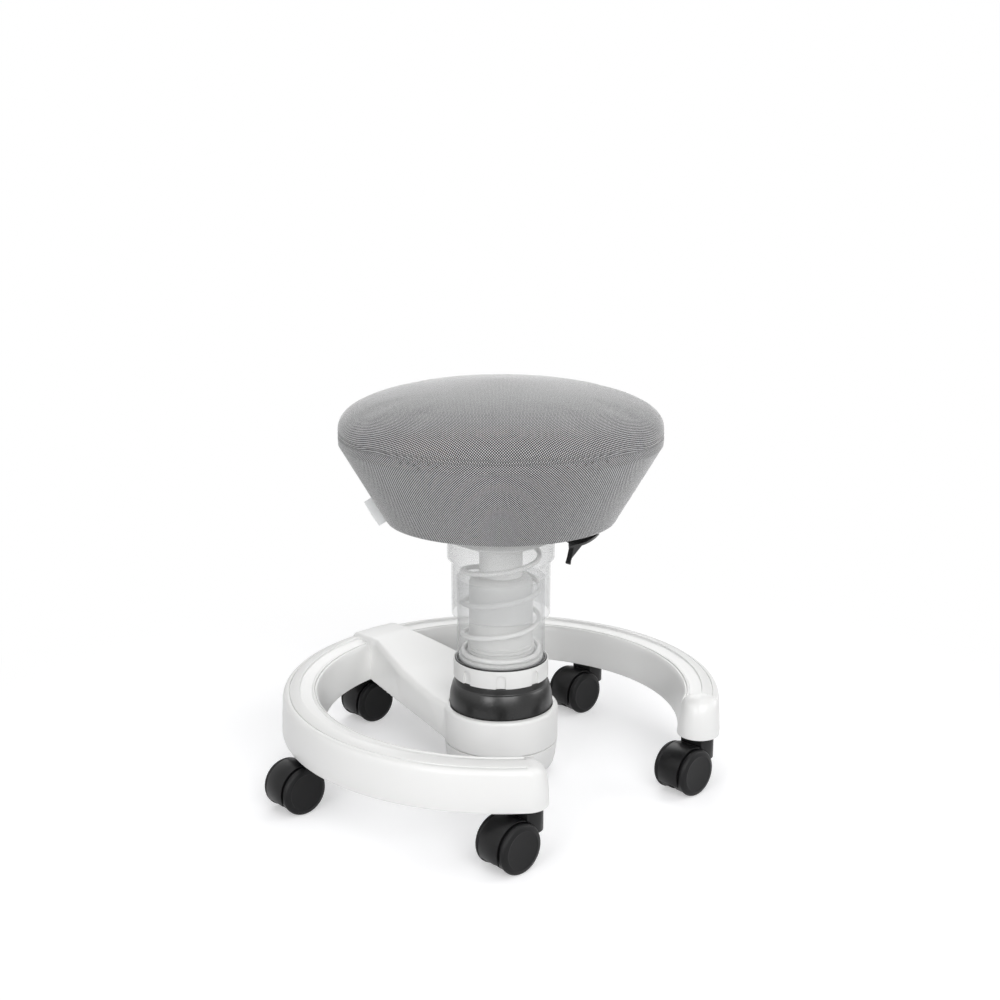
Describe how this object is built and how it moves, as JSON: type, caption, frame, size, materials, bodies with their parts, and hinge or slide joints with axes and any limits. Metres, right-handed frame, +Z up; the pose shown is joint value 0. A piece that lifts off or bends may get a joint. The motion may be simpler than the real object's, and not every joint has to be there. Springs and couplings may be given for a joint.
{
  "type": "balance stool",
  "caption": "Low balance stool with a round padded seat on a gas lift and coil spring, tilting in a rubber bearing on an open ring foot with castors.",
  "frame": {"origin": "on the floor, below the middle of the bounding box", "axes": "+Z up through the seat, -Y towards the opening of the foot ring, +Y along its arm, +X along the longest side of the bounding box"},
  "size_m": [0.4895, 0.433, 0.431],
  "materials": {
    "white_plastic": "gloss white moulding",
    "black_plastic": "satin black moulding",
    "wheel_plastic": "satin black moulding",
    "black_rubber": "satin",
    "clear_plastic": "clear, faintly frosted",
    "light_grey_plastic": "satin light grey moulding",
    "coated_spring": "light grey coated wire",
    "steel": "zinc plated",
    "chromed_tube": "polished",
    "pan_plastic": "black moulding",
    "foam": "open foam",
    "grey_fabric": "two-tone woven grey upholstery fabric",
    "label_cloth": "plain woven tape"
  },
  "bodies": {
    "base": {"foot_ring": "white_plastic", "hub_arm": "white_plastic", "hub_cup": "white_plastic", "arm_screw_1": "steel", "arm_screw_2": "steel", "front_right_stem": "steel", "right_stem": "steel", "back_stem": "steel", "left_stem": "steel", "front_left_stem": "steel"},
    "flex_core": {"rubber_core": "black_rubber"},
    "column": {"rubber_dome": "black_rubber", "pillar_tube": "light_grey_plastic", "guide_cap": "light_grey_plastic", "lower_spring_seat": "light_grey_plastic", "seal_ring": "black_rubber", "lower_dust_tube": "clear_plastic", "coil_spring": "coated_spring"},
    "lock_ring": {"lock_ring": "white_plastic"},
    "carriage": {"upper_dust_tube": "clear_plastic", "upper_spring_seat": "light_grey_plastic", "gas_tube": "light_grey_plastic", "gas_guide_bush": "black_plastic", "thrust_bearing": "steel"},
    "rod": {"piston_rod": "chromed_tube", "rod_clip": "steel"},
    "seat": {"gas_cylinder": "chromed_tube", "seat_plate": "steel", "lever_pin": "steel", "seat_shell": "pan_plastic", "seat_foam": "foam", "seat_cover": "grey_fabric", "cover_tag": "label_cloth", "seat_screw_1": "steel", "seat_screw_2": "steel", "seat_screw_3": "steel", "seat_screw_4": "steel"},
    "lever": {"lever": "black_plastic"},
    "valve": {"valve_pin": "steel"},
    "front_right_castor": {"front_right_hood": "black_plastic", "front_right_axle": "steel"},
    "front_right_wheel_1": {"front_right_wheel_1": "wheel_plastic"},
    "front_right_wheel_2": {"front_right_wheel_2": "wheel_plastic"},
    "right_castor": {"right_hood": "black_plastic", "right_axle": "steel"},
    "right_wheel_1": {"right_wheel_1": "wheel_plastic"},
    "right_wheel_2": {"right_wheel_2": "wheel_plastic"},
    "back_castor": {"back_hood": "black_plastic", "back_axle": "steel"},
    "back_wheel_1": {"back_wheel_1": "wheel_plastic"},
    "back_wheel_2": {"back_wheel_2": "wheel_plastic"},
    "left_castor": {"left_hood": "black_plastic", "left_axle": "steel"},
    "left_wheel_1": {"left_wheel_1": "wheel_plastic"},
    "left_wheel_2": {"left_wheel_2": "wheel_plastic"},
    "front_left_castor": {"front_left_hood": "black_plastic", "front_left_axle": "steel"},
    "front_left_wheel_1": {"front_left_wheel_1": "wheel_plastic"},
    "front_left_wheel_2": {"front_left_wheel_2": "wheel_plastic"}
  },
  "joints": [
    {"name": "tilt_about_x", "type": "hinge", "parent": "base", "child": "flex_core", "pos_m": [0.00784, -0.02048, 0.08097], "axis": [1, 0, 0], "range_deg": [-8, 8], "stiffness_Nm_per_rad": 300, "deforming": ["rubber_core"]},
    {"name": "tilt_about_y", "type": "hinge", "parent": "flex_core", "child": "column", "pos_m": [0.00784, -0.02048, 0.08097], "axis": [0, 1, 0], "range_deg": [-8, 8], "stiffness_Nm_per_rad": 300, "deforming": ["rubber_core"]},
    {"name": "lock_ring_turn", "type": "hinge", "parent": "column", "child": "lock_ring", "pos_m": [0.00784, -0.02048, 0.12927], "axis": [0, 0, 1], "range_deg": [0, 30]},
    {"name": "spring_bounce", "type": "slide", "parent": "column", "child": "carriage", "axis": [0, 0, 1], "range_m": [-0.038, 0], "stiffness_N_per_m": 12000, "springref_m": 0.006, "deforming": ["coil_spring"]},
    {"name": "seat_swivel", "type": "hinge", "parent": "carriage", "child": "rod", "pos_m": [0.00784, -0.02048, 0.06727], "axis": [0, 0, 1], "continuous": true},
    {"name": "seat_lift", "type": "slide", "parent": "rod", "child": "seat", "axis": [0, 0, 1], "range_m": [0, 0.1]},
    {"name": "lever_lift", "type": "hinge", "parent": "seat", "child": "lever", "pos_m": [0.00784, -0.06048, 0.30047], "axis": [-1, 0, 0], "range_deg": [0, 3], "stiffness_Nm_per_rad": 0.5, "springref_deg": -3.44},
    {"name": "valve_press", "type": "slide", "parent": "seat", "child": "valve", "axis": [0, 0, -1], "range_m": [0, 0.0022]},
    {"name": "front_right_castor_swivel", "type": "hinge", "parent": "base", "child": "front_right_castor", "pos_m": [0.13392, -0.19402, 0.05857], "axis": [0, 0, 1], "continuous": true},
    {"name": "front_right_wheel_1_roll", "type": "hinge", "parent": "front_right_castor", "child": "front_right_wheel_1", "pos_m": [0.11142, -0.19402, 0.025], "axis": [0, 1, 0], "continuous": true},
    {"name": "front_right_wheel_2_roll", "type": "hinge", "parent": "front_right_castor", "child": "front_right_wheel_2", "pos_m": [0.11142, -0.19402, 0.025], "axis": [0, 1, 0], "continuous": true},
    {"name": "right_castor_swivel", "type": "hinge", "parent": "base", "child": "right_castor", "pos_m": [0.21184, 0.0458, 0.05857], "axis": [0, 0, 1], "continuous": true},
    {"name": "right_wheel_1_roll", "type": "hinge", "parent": "right_castor", "child": "right_wheel_1", "pos_m": [0.18934, 0.0458, 0.025], "axis": [0, 1, 0], "continuous": true},
    {"name": "right_wheel_2_roll", "type": "hinge", "parent": "right_castor", "child": "right_wheel_2", "pos_m": [0.18934, 0.0458, 0.025], "axis": [0, 1, 0], "continuous": true},
    {"name": "back_castor_swivel", "type": "hinge", "parent": "base", "child": "back_castor", "pos_m": [0.00784, 0.19402, 0.05857], "axis": [0, 0, 1], "continuous": true},
    {"name": "back_wheel_1_roll", "type": "hinge", "parent": "back_castor", "child": "back_wheel_1", "pos_m": [-0.01466, 0.19402, 0.025], "axis": [0, 1, 0], "continuous": true},
    {"name": "back_wheel_2_roll", "type": "hinge", "parent": "back_castor", "child": "back_wheel_2", "pos_m": [-0.01466, 0.19402, 0.025], "axis": [0, 1, 0], "continuous": true},
    {"name": "left_castor_swivel", "type": "hinge", "parent": "base", "child": "left_castor", "pos_m": [-0.19616, 0.0458, 0.05857], "axis": [0, 0, 1], "continuous": true},
    {"name": "left_wheel_1_roll", "type": "hinge", "parent": "left_castor", "child": "left_wheel_1", "pos_m": [-0.21866, 0.0458, 0.025], "axis": [0, 1, 0], "continuous": true},
    {"name": "left_wheel_2_roll", "type": "hinge", "parent": "left_castor", "child": "left_wheel_2", "pos_m": [-0.21866, 0.0458, 0.025], "axis": [0, 1, 0], "continuous": true},
    {"name": "front_left_castor_swivel", "type": "hinge", "parent": "base", "child": "front_left_castor", "pos_m": [-0.11824, -0.19402, 0.05857], "axis": [0, 0, 1], "continuous": true},
    {"name": "front_left_wheel_1_roll", "type": "hinge", "parent": "front_left_castor", "child": "front_left_wheel_1", "pos_m": [-0.14074, -0.19402, 0.025], "axis": [0, 1, 0], "continuous": true},
    {"name": "front_left_wheel_2_roll", "type": "hinge", "parent": "front_left_castor", "child": "front_left_wheel_2", "pos_m": [-0.14074, -0.19402, 0.025], "axis": [0, 1, 0], "continuous": true}
  ],
  "couplings": [
    {"joint": "valve_press", "follows": "lever_lift", "m_per_rad": 0.04}
  ]
}
